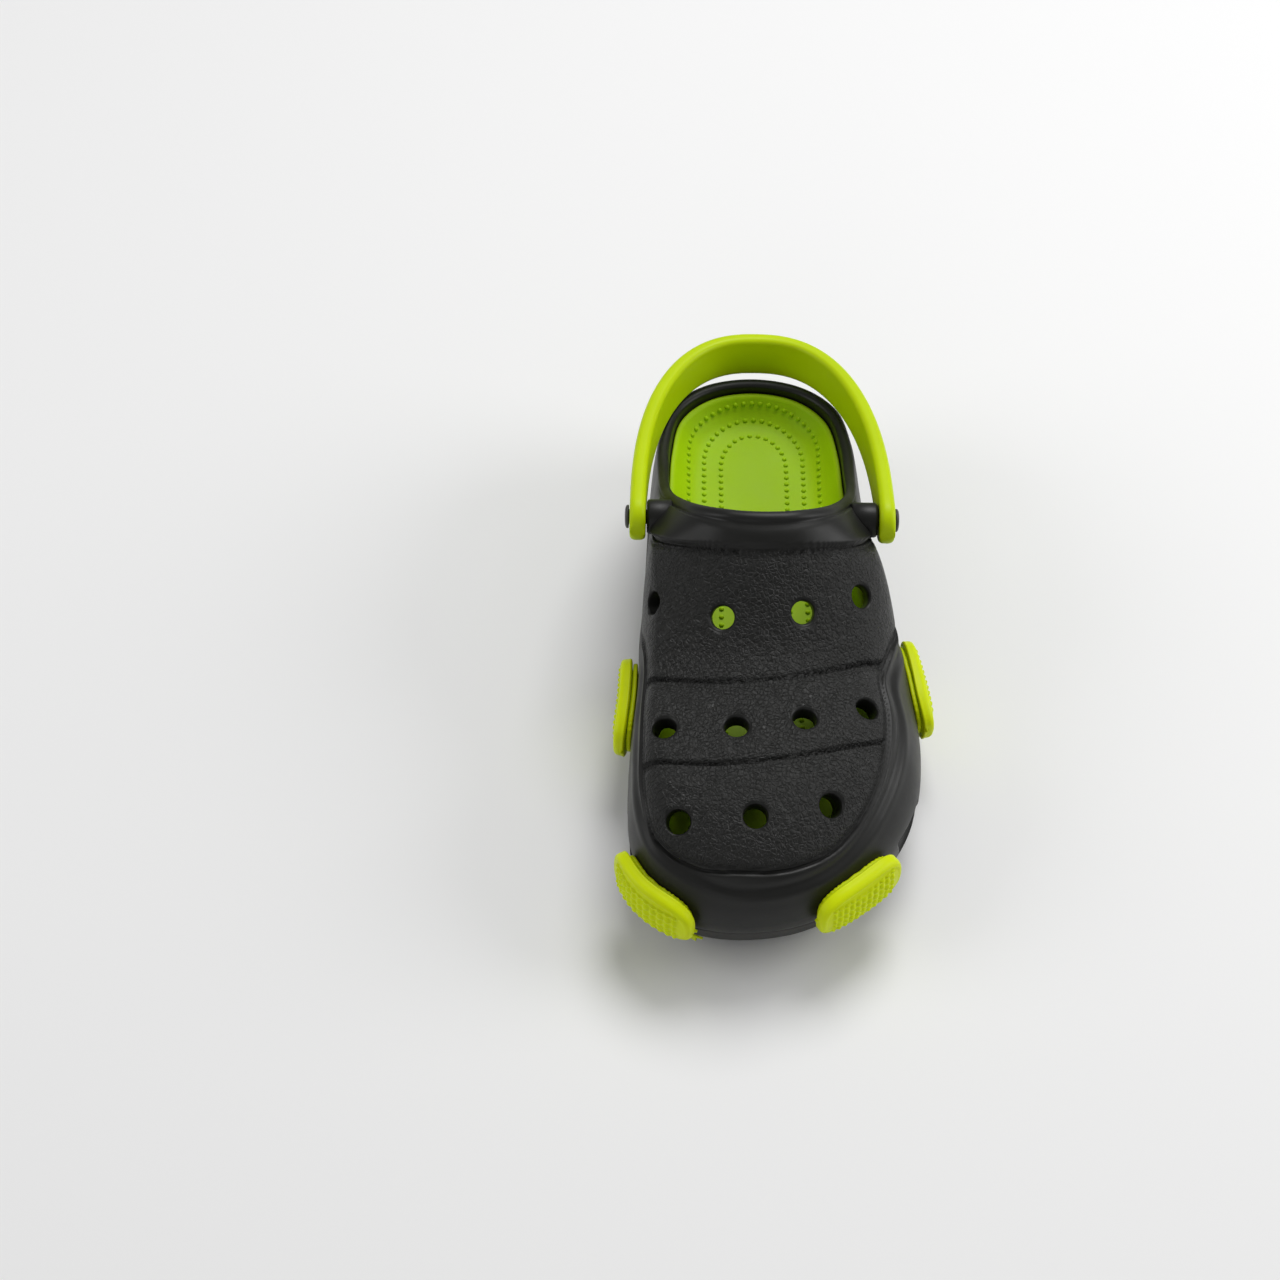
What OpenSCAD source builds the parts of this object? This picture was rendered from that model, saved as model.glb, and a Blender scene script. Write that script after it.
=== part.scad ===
// Left clog: moulded shell with a glued-in footbed and outsole, a swinging heel strap on
// two snap rivets, and four bumper pads bonded to the side wall over thin backing plates.
// Frame: toe towards -Y, heel towards +Y, lateral side towards +X, ground at Z = 0.

/* [Shell] */
// Length of the shell from toe to heel
shell_l = 230; // [215:1:245]
// Width of the shell across the ball of the foot
shell_w = 98.2; // [92:0.1:104]
// Height of the collar above the ground at the instep
collar_h = 88; // [84:1:92]
// Thickness of the upper's wall
wall = 4.8; // [4.2:0.1:5.4]
// Thickness of the wall beside the footbed
side_wall = 7; // [6.5:0.1:7.5]
// Thickness of the rim round the foot opening
rim_t = 4.4; // [4:0.1:5]
// Diameter of the vent holes
vent_d = 7.7; // [6:0.1:8.5]
// Length of a drain slot
drain_l = 20; // [14:0.5:22]
// Height of a drain slot
drain_h = 11.5; // [8:0.5:12]

/* [Sole] */
// Thickness of the outsole at its edge
sole_t = 8.5; // [7:0.1:10]
// How far the toe lifts off the ground
toe_spring = 9; // [6:0.5:11]
// Width of a tread groove
tread_w = 4; // [3:0.5:6]
// Depth of a tread groove
tread_d = 2.6; // [1.5:0.1:4]

/* [Footbed] */
// Height of the footbed under the ball of the foot
bed_fore = 24; // [22:0.5:26]
// Height of the footbed under the heel
bed_heel = 34; // [32:0.5:36]

/* [Strap] */
// Width of the strap band
strap_w = 16; // [13:0.5:17]
// Thickness of the strap
strap_t = 5.4; // [5:0.1:5.8]
// Reach of the strap behind its pivot
strap_reach = 98; // [97:0.5:101]
// Half the strap's outer width
strap_half = 45.2; // [45:0.1:46]
// Downward slope of the strap at rest
strap_slope = 7.5; // [6:0.5:8]
// Diameter of a rivet's shank
shank_d = 5; // [4:0.1:5.5]
// Diameter of a rivet's head
head_d = 8; // [7:0.5:12]

/* [Pads] */
// Length of a side pad
side_pad_l = 36; // [32:0.5:40]
// Length of a toe pad
toe_pad_l = 33; // [30:0.5:36]
// Height of a bumper pad
pad_h = 18.5; // [16:0.5:19]
// Thickness of a bumper pad's face plate
pad_t = 4.4; // [3.5:0.1:5]
// Thickness of a pad's backing plate
back_t = 1.6; // [1.2:0.1:2]

/* [Hidden] */
$fn = 64;

black = [0.16, 0.16, 0.15];
lime = [0.66, 0.82, 0.05];
grey = [0.25, 0.25, 0.24];

// Scale from the nominal last to the asked size
kx = shell_w / 98.2;
ky = shell_l / 230;
kz = collar_h / 88;

// Widest outline of the shell, from the toe round the lateral side to the heel and back
OUTLINE = [
  [-8, -107], [10, -104.5], [26, -96], [41, -82], [51.5, -63], [54.8, -41], [53.3, -19],
  [49.5, 2], [44.3, 23], [41, 44], [39.8, 64], [38, 85], [33.5, 104.5], [20, 118],
  [0, 123], [-19.5, 118], [-33, 104.5], [-37, 85], [-38.5, 64], [-39, 44], [-39.5, 23],
  [-40.5, 2], [-41.3, -19], [-43, -41], [-43.4, -63], [-42, -80], [-36, -94], [-23.5, -103.5]];

// Middle of the rim round the foot opening, on the lateral half; the medial half mirrors it
RIM_HALF = [
  [0, 12, 88], [4, 12.2, 87.9], [8, 12.8, 87.5], [12, 14, 86.8], [16, 16, 85.3],
  [20, 19, 83], [24, 23.5, 79.5], [27.5, 30, 74.5], [30.5, 38.5, 68], [32.5, 50, 60.5],
  [33.2, 65, 54], [33, 83, 49.5], [28.8, 101.5, 47.5], [17, 113.5, 46.3], [0, 117.5, 46]];
RIM = concat(RIM_HALF, [for (i = [13:-1:1]) [-RIM_HALF[i].x, RIM_HALF[i].y, RIM_HALF[i].z]]);

CTRL = len(OUTLINE);
PER_CTRL = 3;      // mesh columns per control point
COLS = CTRL * PER_CTRL;
BULGE_Z = 23;      // height of the widest outline
FLOOR_Z = 13;      // height of the shell's floor under the forefoot
HEEL_FLOOR_UP = 9; // how much higher the floor is under the heel
PLATEAU_Z = 57;    // top of the toe box
GAP = 0.3;         // room between glued or buttoned pieces

// ---- curves ----------------------------------------------------------------

function mixed(a, b, t) = a + (b - a) * t;
function clamp01(t) = min(1, max(0, t));
function smooth(t) = let (c = clamp01(t)) c * c * (3 - 2 * c);
function soft(x, r) = (x + sqrt(x * x + r * r)) / 2; // max(0, x) with a rounded corner
function flat2(p) = [p.x, p.y];
function unit(v) = v / norm(v);

function catmull(a, b, c, d, t) =
  (2 * b + (c - a) * t + (2 * a - 5 * b + 4 * c - d) * t ^ 2 + (3 * b - 3 * c + d - a) * t ^ 3) / 2;
// A closed curve through pts; u runs from 0 to the number of points
function closed(pts, u) =
  let (n = len(pts), k = floor(u), i = ((k % n) + n) % n)
  catmull(pts[(i + n - 1) % n], pts[i], pts[(i + 1) % n], pts[(i + 2) % n], u - k);

function edge(u) = let (p = closed(OUTLINE, u)) [p.x * kx, p.y * ky];
function rim(u) = let (p = closed(RIM, u)) [p.x * kx, p.y * ky, p.z * kz];
// Direction into the shell at right angles to the outline
function inward(u) = let (t = edge(u + 0.1) - edge(u - 0.1)) unit([-t.y, t.x]);

// ---- heights ---------------------------------------------------------------

// Lift of the sole at the toe and, slightly, at the heel
function spring_at(y) =
  toe_spring * clamp01((-60 * ky - y) / (47 * ky)) ^ 2 + 2 * clamp01((y / ky - 95) / 28) ^ 2;
// Top of the vamp along the middle of the foot: toe box, instep ramp, collar
function vamp_mid(y) =
  let (ramp = PLATEAU_Z + 0.88 * soft(y / ky + 24, 8))
  kz * (90 - soft(90 - ramp, 4));
// Cross curve of the vamp, sharper towards the collar
function crown(y) = (0.0015 + 0.00026 * soft(y / ky + 38, 10)) / (kx * kx);
function vamp(p) = vamp_mid(p.y) - kz * crown(p.y) * p.x ^ 2;
function floor_at(y) = FLOOR_Z + spring_at(min(y, 0)) * 0.6 + HEEL_FLOOR_UP * smooth((y + 30) / 90);
function joint_at(y) = sole_t + spring_at(y);
function bulge_at(y) = BULGE_Z + 0.2 * spring_at(y);

// Rise of a quarter ellipse
function quarter(t) = let (c = clamp01(t)) sqrt(c * (2 - c));
// How far in from the outline the wall has turned into the vamp
function turn_in(u) =
  let (
    b = edge(u),
    side = smooth((b.x / kx + 43) / 22),
    back = smooth((b.y / ky + 50) / 70))
  mixed(mixed(26, 46, side), mixed(8, 12, side), back);

// A point on a skin that runs from a low outline point b to a point e near the rim.
// share is 0 at b and 1 at e; low is the height at b; drop lowers the vamp.
function skin(u, share, b, e, low, turn, drop) =
  let (
    l = max(norm(flat2(e) - b), 0.6),
    p = mixed(b, flat2(e), share),
    open = smooth((rim(u).y / ky - 60) / 35),
    vamp_z = vamp(p) - drop + (e.z - vamp(e) + drop) * share ^ 3,
    top = mixed(vamp_z, e.z, open),
    rise = quarter(share * l / turn) / quarter(l / turn))
  [p.x, p.y, low + (top - low) * rise];

function rim_dir(u) = unit(flat2(rim(u)) - edge(u));
function rim_side(u, way) =
  let (r = rim(u), d = rim_dir(u) * way * rim_t / 2) [r.x + d.x, r.y + d.y, r.z - rim_t * 0.35];
function outer_skin(u, share) =
  let (b = edge(u)) skin(u, share, b, rim_side(u, -1), bulge_at(b.y), turn_in(u), 0);
function inner_edge(u, more = 0) = edge(u) + inward(u) * (side_wall + more);
function inner_skin(u, share) =
  let (b = inner_edge(u))
  skin(u, share, b, rim_side(u, 1), floor_at(b.y), max(turn_in(u) - side_wall, 5), wall * 1.2);
// Spreads a skin's rings evenly over its curve
function spread(u, v) = v ^ mixed(2, 1.5, clamp01(norm(flat2(rim(u)) - edge(u)) / 80));

// ---- meshes ----------------------------------------------------------------

function col_u(i) = i / PER_CTRL;
function at_height(p, z) = [p.x, p.y, z];

// Closed solid from rings of equal length, with both ends capped by strips across
module ring_solid(rings) {
  n = len(rings[0]);
  last = (len(rings) - 1) * n;
  walls = [for (r = [0:len(rings) - 2]) for (i = [0:n - 1])
    let (a = r * n + i, b = r * n + (i + 1) % n)
    each [[a, a + n, b + n], [a, b + n, b]]];
  cap = [for (i = [0:n / 2 - 1])
    let (a = i, b = i + 1, c = (n - i - 1) % n, d = (n - i) % n)
    each (i == 0 ? [[a, b, c]] : i == n / 2 - 1 ? [[a, b, d]] : [[a, b, c], [a, c, d]])];
  top = [for (f = cap) [f[2] + last, f[1] + last, f[0] + last]];
  polyhedron(points = [for (r = rings) each r], faces = concat(walls, cap, top));
}

OUTER_RINGS = 14;
INNER_RINGS = 12;

function low_ring(inset, lift) = [for (i = [0:COLS - 1])
  let (u = col_u(i), b = edge(u), p = b + inward(u) * inset)
  at_height(p, mixed(joint_at(b.y), bulge_at(b.y), lift))];
function rim_ring() = [for (i = [0:COLS - 1]) rim(col_u(i))];

module shell_body() {
  ring_solid(concat(
    [low_ring(2.4, 0), low_ring(0.7, 0.45)],
    [for (k = [0:OUTER_RINGS]) [for (i = [0:COLS - 1])
      let (u = col_u(i)) outer_skin(u, spread(u, k / OUTER_RINGS))]],
    [rim_ring()],
    [for (k = [INNER_RINGS:-1:0]) [for (i = [0:COLS - 1])
      let (u = col_u(i)) inner_skin(u, spread(u, k / INNER_RINGS))]]));
}

// ---- features on the shell ---------------------------------------------------

// Vent holes: place round the outline, share of the way up to the rim
VENTS = [[21.8, 0.31], [26.3, 0.775], [2.2, 0.78], [5.15, 0.64],
  [25.15, 0.33], [27.6, 0.47], [1.6, 0.47], [3.45, 0.375],
  [26.5, 0.14], [0.25, 0.2], [1.9, 0.18]];
DRAINS = [3.85, 24.5];  // drain slots, lateral and medial
DRAIN_Z = 21.5;
SIDE_PADS = [6.4, 22];
TOE_PADS = [2.2, 26.15];
PAD_Z = 23.5;
PIVOT = [0.9, 31 * ky, 65 * kz];
RUN = 0.05;             // radial room round a rivet's shank
BOSS_R = 6;
BOSS_FACE = strap_half - strap_t - 0.4;  // outer face of a rivet boss, from the strap's middle
BOSS_BACK = 30.4;

module along(dir) {
  rotate([0, 0, atan2(dir.y, dir.x)]) rotate([0, acos(dir.z), 0]) children();
}

module vent(u, share) {
  e = 0.02;
  p = outer_skin(u, share);
  n = unit(cross(outer_skin(u + e, share) - p, outer_skin(u, share + e) - p));
  translate(p) along(n) translate([0, 0, -9]) cylinder(d = vent_d, h = 16);
}

// Stands its children on the outline at u, with +X along the outline, +Z out of the wall
module on_wall(u, z) {
  b = edge(u);
  n = inward(u);
  translate([b.x, b.y, z])
    rotate([0, 0, atan2(-n.y, -n.x)])
      rotate([90, 0, 90])
        children();
}

module drain(u, lean) {
  h = drain_h / 2;
  l = drain_l / 2;
  on_wall(u, DRAIN_Z)
    translate([0, 0, -side_wall - 4])
      linear_extrude(side_wall + 8)
        polygon([[-l - lean, -h], [l - lean, -h], [l + lean, h], [-l + lean, h]]);
}

// A rod along X on the strap's pivot, from a to b measured out from the strap's middle
module pivot_rod(side, a, b, d) {
  translate([PIVOT.x + side * a, PIVOT.y, PIVOT.z])
    rotate([0, side * 90, 0]) cylinder(d = d, h = b - a);
}

module shell() {
  difference() {
    union() {
      shell_body();
      for (side = [-1, 1]) pivot_rod(side, BOSS_BACK, BOSS_FACE, 2 * BOSS_R);
    }
    for (v = VENTS) vent(v[0], v[1]);
    drain(DRAINS[0], -2);
    drain(DRAINS[1], 2);
    for (side = [-1, 1]) pivot_rod(side, BOSS_BACK - 8, BOSS_FACE + 2, shank_d + 2 * RUN);
    for (side = [-1, 1]) pivot_rod(side, BOSS_BACK - 8, BOSS_BACK - 0.65, 10.5);
  }
}

// ---- sole --------------------------------------------------------------------

function sole_ring(inset, share) = [for (i = [0:COLS - 1])
  let (u = col_u(i), b = edge(u), p = b + inward(u) * inset)
  at_height(p, spring_at(b.y) + sole_t * share)];

module outsole() {
  difference() {
    ring_solid([sole_ring(6, 0), sole_ring(4, 0.15), sole_ring(3, 0.55), sole_ring(2.4, 1)]);
    for (y = [-80, -54, -25, -12, 62, 78, 94])
      translate([0, y * ky, tread_d / 2 + spring_at(y * ky) - 1])
        cube([150, tread_w, tread_d + 2], center = true);
  }
}

// ---- footbed -----------------------------------------------------------------

function bed_at(y) = kz * mixed(bed_fore, bed_heel, smooth((y + 20) / 80))
  + 0.7 * spring_at(min(y, 0));
function lip_at(y) = mixed(bed_at(y) + 5, kz * 42.3, smooth((y + 10) / 60));
// A point on the footbed's outer face, at height z
function bed_side(u, z) =
  let (
    b = inner_edge(u, GAP),
    e = rim_side(u, 1),
    e2 = [e.x, e.y] + rim_dir(u) * GAP,
    low = floor_at(b.y),
    turn = max(turn_in(u) - side_wall, 5),
    l = max(norm(e2 - b), 0.6),
    top = mixed(vamp(b) - wall * 1.2, e.z, smooth((rim(u).y / ky - 60) / 35)),
    q = clamp01((z - low) / (top - low)) * quarter(l / turn),
    share = clamp01(turn / l * (1 - sqrt(1 - q * q))))
  at_height(mixed(b, e2, share), z);
function bed_ring(share) = [for (i = [0:COLS - 1])
  let (u = col_u(i), y = edge(u).y, low = floor_at(inner_edge(u, GAP).y) + 0.05)
  bed_side(u, mixed(low, lip_at(y), share))];
// Inset rings of the cupped top; rise is 1 at the lip and 0 on the bed
function cup_ring(inset, rise) = [for (i = [0:COLS - 1])
  let (u = col_u(i), b = edge(u), p = bed_side(u, lip_at(b.y)), q = flat2(p) + inward(u) * inset)
  at_height(q, mixed(bed_at(q.y), lip_at(b.y), rise))];

module footbed() {
  ring_solid(concat(
    [for (k = [0:4]) bed_ring(k / 4)],
    [cup_ring(1.6, 1), cup_ring(3, 0.72), cup_ring(5, 0.42), cup_ring(8, 0.14),
     cup_ring(11.5, 0.02)]));
}

// ---- pads --------------------------------------------------------------------

// A point on the side wall at height z, pushed out by n
function wall_point(u, z, n) =
  let (
    b = edge(u),
    mid = bulge_at(b.y),
    turn = turn_in(u),
    e = rim_side(u, -1),
    l = max(norm(flat2(e) - b), 0.6),
    q = clamp01((z - mid) / (vamp(b) - mid)) * quarter(l / turn),
    x = turn * (1 - sqrt(1 - q * q)),
    down = clamp01((mid - z) / (mid - joint_at(b.y))),
    p = b + rim_dir(u) * x + inward(u) * (2.4 * down ^ 2 - n))
  at_height(p, z);
function power(x, e) = sign(x) * abs(x) ^ e;
// A pad's outline on the wall, its face n out from the wall
function pad_ring(u0, z0, l, h, n) =
  let (per = norm(edge(u0 + 0.5) - edge(u0 - 0.5)))
  [for (i = [0:31])
    let (a = i * 11.25, s = l / 2 * power(cos(a), 0.62), t = h / 2 * power(sin(a), 0.72))
    wall_point(u0 + s / per, z0 + t, n)];

module pad(u, l) {
  a = 2 * GAP + back_t;
  z = PAD_Z + 0.3 * spring_at(edge(u).y);
  ring_solid([
    pad_ring(u, z, l - 1, pad_h - 1, a), pad_ring(u, z, l, pad_h, a + 1),
    pad_ring(u, z, l - 0.8, pad_h - 0.8, a + pad_t - 1.4),
    pad_ring(u, z, l - 4, pad_h - 4, a + pad_t)]);
}
module pad_backing(u, l) {
  z = PAD_Z + 0.3 * spring_at(edge(u).y);
  ring_solid([
    pad_ring(u, z, l - 3, pad_h - 2.5, GAP),
    pad_ring(u, z, l - 3, pad_h - 2.5, back_t + GAP)]);
}

module toe_pad_medial() { pad(TOE_PADS[1], toe_pad_l); }
module toe_pad_lateral() { pad(TOE_PADS[0], toe_pad_l); }
module side_pad_medial() { pad(SIDE_PADS[1], side_pad_l); }
module side_pad_lateral() { pad(SIDE_PADS[0], side_pad_l); }
module toe_pad_backing_medial() { pad_backing(TOE_PADS[1], toe_pad_l); }
module toe_pad_backing_lateral() { pad_backing(TOE_PADS[0], toe_pad_l); }
module side_pad_backing_medial() { pad_backing(SIDE_PADS[1], side_pad_l); }
module side_pad_backing_lateral() { pad_backing(SIDE_PADS[0], side_pad_l); }

// ---- strap and rivets ---------------------------------------------------------

// The strap's outer line in its own plane: a short round end, then half an oval
END = strap_w / 2;
STRAP_PATH = concat(
  [for (s = [-0.97, -0.85, -0.6, -0.3]) [s * END, 0]],
  [for (a = [0:5:180]) [0, a]],
  [for (s = [-0.3, -0.6, -0.85, -0.97]) [s * END, 180]]);
OVAL = 2 / 2.4;
function strap_point(q) =
  [strap_half * power(cos(q[1]), OVAL), strap_reach * power(sin(q[1]), OVAL) + q[0]];
function strap_out(q) =
  unit([power(cos(q[1]), 2 - OVAL) / strap_half, power(sin(q[1]), 2 - OVAL) / strap_reach]);
// One cross-section, rounded at its four corners
function strap_section(q) =
  let (
    p = strap_point(q),
    n = strap_out(q),
    h = END * sqrt(1 - (q[0] / END) ^ 2),
    r = min(1.6, h * 0.6))
  [for (c = [[0, -h + r], [0, h - r], [-r * 0.3, h - r * 0.3], [-r, h],
             [-strap_t + r, h], [-strap_t + r * 0.3, h - r * 0.3],
             [-strap_t, h - r], [-strap_t, -h + r], [-strap_t + r * 0.3, -h + r * 0.3],
             [-strap_t + r, -h], [-r, -h], [-r * 0.3, -h + r * 0.3]])
    [p.x + n.x * c.x, p.y + n.y * c.x, c.y]];

module heel_strap() {
  difference() {
    translate(PIVOT) rotate([-strap_slope, 0, 0])
      mirror([0, 1, 0]) ring_solid([for (q = STRAP_PATH)
        let (s = strap_section(q)) [for (p = s) [p.x, -p.y, p.z]]]);
    for (side = [-1, 1])
      pivot_rod(side, strap_half - strap_t - 2, strap_half + 2, shank_d + 2 * RUN);
  }
}

module rivet_post(side) {
  out = strap_half + 0.3;
  pivot_rod(side, BOSS_BACK - 3.2, out + 0.5, shank_d);
  pivot_rod(side, out, out + 0.9, head_d);
  pivot_rod(side, out + 0.9, out + 1.4, head_d - 2);
}
module rivet_cap(side) {
  difference() {
    pivot_rod(side, BOSS_BACK - 3.2, BOSS_BACK - 0.7, 10);
    pivot_rod(side, BOSS_BACK - 4, BOSS_BACK + 1, shank_d + 2 * RUN);
  }
}
module rivet_post_medial() { rivet_post(-1); }
module rivet_post_lateral() { rivet_post(1); }
module rivet_cap_medial() { rivet_cap(-1); }
module rivet_cap_lateral() { rivet_cap(1); }

color(black) shell();
color(black) outsole();
color(lime) footbed();
color(lime) heel_strap();
color(grey) rivet_post_medial();
color(grey) rivet_post_lateral();
color(grey) rivet_cap_medial();
color(grey) rivet_cap_lateral();
color(lime) toe_pad_medial();
color(lime) toe_pad_lateral();
color(lime) side_pad_medial();
color(lime) side_pad_lateral();
color(lime) toe_pad_backing_medial();
color(lime) toe_pad_backing_lateral();
color(lime) side_pad_backing_medial();
color(lime) side_pad_backing_lateral();
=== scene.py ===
"""Left foam clog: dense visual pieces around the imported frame, in metres."""
import math

import bpy
import numpy as np
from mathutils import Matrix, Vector
from mathutils.bvhtree import BVHTree


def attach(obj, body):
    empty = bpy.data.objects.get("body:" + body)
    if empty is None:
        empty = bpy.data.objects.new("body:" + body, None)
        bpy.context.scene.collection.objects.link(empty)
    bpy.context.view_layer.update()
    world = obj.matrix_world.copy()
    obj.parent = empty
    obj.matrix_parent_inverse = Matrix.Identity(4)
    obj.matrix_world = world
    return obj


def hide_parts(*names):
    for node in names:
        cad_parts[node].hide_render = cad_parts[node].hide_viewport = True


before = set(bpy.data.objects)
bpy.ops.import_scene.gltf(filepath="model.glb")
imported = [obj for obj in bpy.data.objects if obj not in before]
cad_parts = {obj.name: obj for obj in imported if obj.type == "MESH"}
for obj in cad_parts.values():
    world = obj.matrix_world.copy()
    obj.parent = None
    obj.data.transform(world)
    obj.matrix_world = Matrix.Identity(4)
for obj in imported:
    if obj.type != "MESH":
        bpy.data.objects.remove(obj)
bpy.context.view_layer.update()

# ---- the shell's curves, in millimetres: the same ones the solids follow --------

OUTLINE = np.array([
    (-8, -107), (10, -104.5), (26, -96), (41, -82), (51.5, -63), (54.8, -41), (53.3, -19),
    (49.5, 2), (44.3, 23), (41, 44), (39.8, 64), (38, 85), (33.5, 104.5), (20, 118),
    (0, 123), (-19.5, 118), (-33, 104.5), (-37, 85), (-38.5, 64), (-39, 44), (-39.5, 23),
    (-40.5, 2), (-41.3, -19), (-43, -41), (-43.4, -63), (-42, -80), (-36, -94), (-23.5, -103.5)])
RIM_HALF = [
    (0, 12, 88), (4, 12.2, 87.9), (8, 12.8, 87.5), (12, 14, 86.8), (16, 16, 85.3),
    (20, 19, 83), (24, 23.5, 79.5), (27.5, 30, 74.5), (30.5, 38.5, 68), (32.5, 50, 60.5),
    (33.2, 65, 54), (33, 83, 49.5), (28.8, 101.5, 47.5), (17, 113.5, 46.3), (0, 117.5, 46)]
RIM = np.array(RIM_HALF + [(-x, y, z) for x, y, z in RIM_HALF[13:0:-1]])
SIDE_WALL, WALL, RIM_T, SOLE_T, GAP, BACK_T = 7, 4.8, 4.4, 8.5, 0.3, 1.6
SIDES = ((-1, "medial"), (1, "lateral"))
SPANS = len(OUTLINE)          # the curves' parameter u counts spans of the outline
VENT_R = 3.85
DRAIN_Z, DRAIN_L, DRAIN_H = 21.5, 20, 11.5
PIVOT = np.array([0.9, 31, 65])
BORE_R, SHANK_R = 2.55, 2.5
BOSS_R, BOSS_BACK = 6.0, 30.4
CAP_R, CAP_T = 5.0, 2.5
STRAP_HALF, STRAP_REACH, STRAP_T, STRAP_W, STRAP_TILT = 45.2, 98, 5.4, 16, -7.5
OVAL = 2 / 2.4


def closed(pts, u):
    """Smooth closed curve through pts; u counts along them."""
    u = np.asarray(u, float)
    n = len(pts)
    k = np.floor(u).astype(int)
    t = u - k
    if pts.ndim > 1:
        t = t[..., None]
    a, b, c, d = (pts[(k + j) % n] for j in (-1, 0, 1, 2))
    return (2 * b + (c - a) * t + (2 * a - 5 * b + 4 * c - d) * t ** 2
            + (3 * b - 3 * c + d - a) * t ** 3) / 2


def clamp(t):
    return np.clip(t, 0, 1)


def smooth(t):
    """Ease from 0 to 1."""
    c = clamp(t)
    return c * c * (3 - 2 * c)


def soft(x, r):
    """The positive part of x, rounded over about r."""
    return (x + np.sqrt(x * x + r * r)) / 2


def mix(a, b, t):
    return a + (b - a) * t


def unit(v):
    return v / np.maximum(np.linalg.norm(v, axis=-1, keepdims=True), 1e-9)


def edge(u):
    """Widest outline of the shell, seen from above."""
    return closed(OUTLINE, u)


def rim(u):
    """Rim of the foot opening."""
    return closed(RIM, u)


def inward(u):
    """Unit vector from the outline to the inside."""
    t = edge(u + 0.1) - edge(u - 0.1)
    return unit(np.stack([-t[..., 1], t[..., 0]], -1))


def spring(y):
    """Lift of the sole at toe and heel."""
    return 9 * clamp((-60 - y) / 47) ** 2 + 2 * clamp((y - 95) / 28) ** 2


def vamp(p):
    """Height of the upper over a point."""
    x, y = p[..., 0], p[..., 1]
    ramp = 57 + 0.88 * soft(y + 24, 8)
    return 90 - soft(90 - ramp, 4) - (0.0015 + 0.00026 * soft(y + 38, 10)) * x ** 2


def floor_at(y):
    """Height of the shell's inner floor."""
    return 13 + 0.6 * spring(np.minimum(y, 0)) + 9 * smooth((y + 30) / 90)


def joint_at(y):
    """Height where the outsole meets the shell."""
    return SOLE_T + spring(y)


def bulge_at(y):
    """Height of the widest line of the wall."""
    return 23 + 0.2 * spring(y)


def quarter(t):
    """Quarter of a circle, rising from 0 to 1."""
    c = clamp(t)
    return np.sqrt(c * (2 - c))


def turn_in(u):
    """Distance over which the wall turns into the top."""
    b = edge(u)
    medial = smooth((b[..., 0] + 43) / 22)
    return mix(mix(26, 46, medial), mix(8, 12, medial), smooth((b[..., 1] + 50) / 70))


def skin(u, share, b, e, low, turn, drop):
    """Point of a wall skin, from its foot b (share 0) to the rim e (share 1)."""
    l = np.maximum(np.linalg.norm(e[..., :2] - b, axis=-1), 0.6)
    p = mix(b, e[..., :2], share[..., None])
    top = mix(vamp(p) - drop + (e[..., 2] - vamp(e) + drop) * share ** 3, e[..., 2],
              smooth((rim(u)[..., 1] - 60) / 35))
    z = low + (top - low) * quarter(share * l / turn) / quarter(l / turn)
    return np.concatenate([p, z[..., None]], -1)


def rim_dir(u):
    return unit(rim(u)[..., :2] - edge(u))


def rim_side(u, way):
    """Outer (way -1) or inner (way 1) side of the rim."""
    r = rim(u)
    return np.concatenate([r[..., :2] + rim_dir(u) * way * RIM_T / 2,
                           r[..., 2:] - RIM_T * 0.35], -1)


def outer_skin(u, share):
    b = edge(u)
    return skin(u, share, b, rim_side(u, -1), bulge_at(b[..., 1]), turn_in(u), 0)


def inner_edge(u, more=0.0):
    return edge(u) + inward(u) * (SIDE_WALL + more)


def inner_skin(u, share):
    b = inner_edge(u)
    return skin(u, share, b, rim_side(u, 1), floor_at(b[..., 1]),
                np.maximum(turn_in(u) - SIDE_WALL, 5), WALL * 1.2)


def bed_at(y):
    """Height of the footbed's walking face."""
    return mix(24, 34, smooth((y + 20) / 80)) + 0.7 * spring(np.minimum(y, 0))


def lip_at(y):
    """Height of the footbed's cupped lip."""
    return mix(bed_at(y) + 5, 42.3, smooth((y + 10) / 60))


def bed_side(u, z):
    """Side of the footbed at height z, just inside the inner skin."""
    b = inner_edge(u, GAP)
    e = rim_side(u, 1)
    e2 = e[..., :2] + rim_dir(u) * GAP
    low = floor_at(b[..., 1])
    turn = np.maximum(turn_in(u) - SIDE_WALL, 5)
    l = np.maximum(np.linalg.norm(e2 - b, axis=-1), 0.6)
    top = mix(vamp(b) - WALL * 1.2, e[..., 2], smooth((rim(u)[..., 1] - 60) / 35))
    q = clamp((z - low) / (top - low)) * quarter(l / turn)
    share = clamp(turn / l * (1 - np.sqrt(1 - q * q)))
    return np.concatenate([mix(b, e2, share[..., None]), np.broadcast_to(z, share.shape)[..., None]], -1)


def wall_point(u, z, n):
    """Point n outside the shell's wall at height z."""
    b = edge(u)
    mid = bulge_at(b[..., 1])
    turn = turn_in(u)
    l = np.maximum(np.linalg.norm(rim_side(u, -1)[..., :2] - b, axis=-1), 0.6)
    q = clamp((z - mid) / (vamp(b) - mid)) * quarter(l / turn)
    x = turn * (1 - np.sqrt(1 - q * q))
    down = clamp((mid - z) / (mid - joint_at(b[..., 1])))
    p = b + rim_dir(u) * x[..., None] + inward(u) * (2.4 * down ** 2 - n)[..., None]
    return np.concatenate([p, z[..., None]], -1)


# ---- mesh helpers ---------------------------------------------------------------

MM = 0.001


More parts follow.
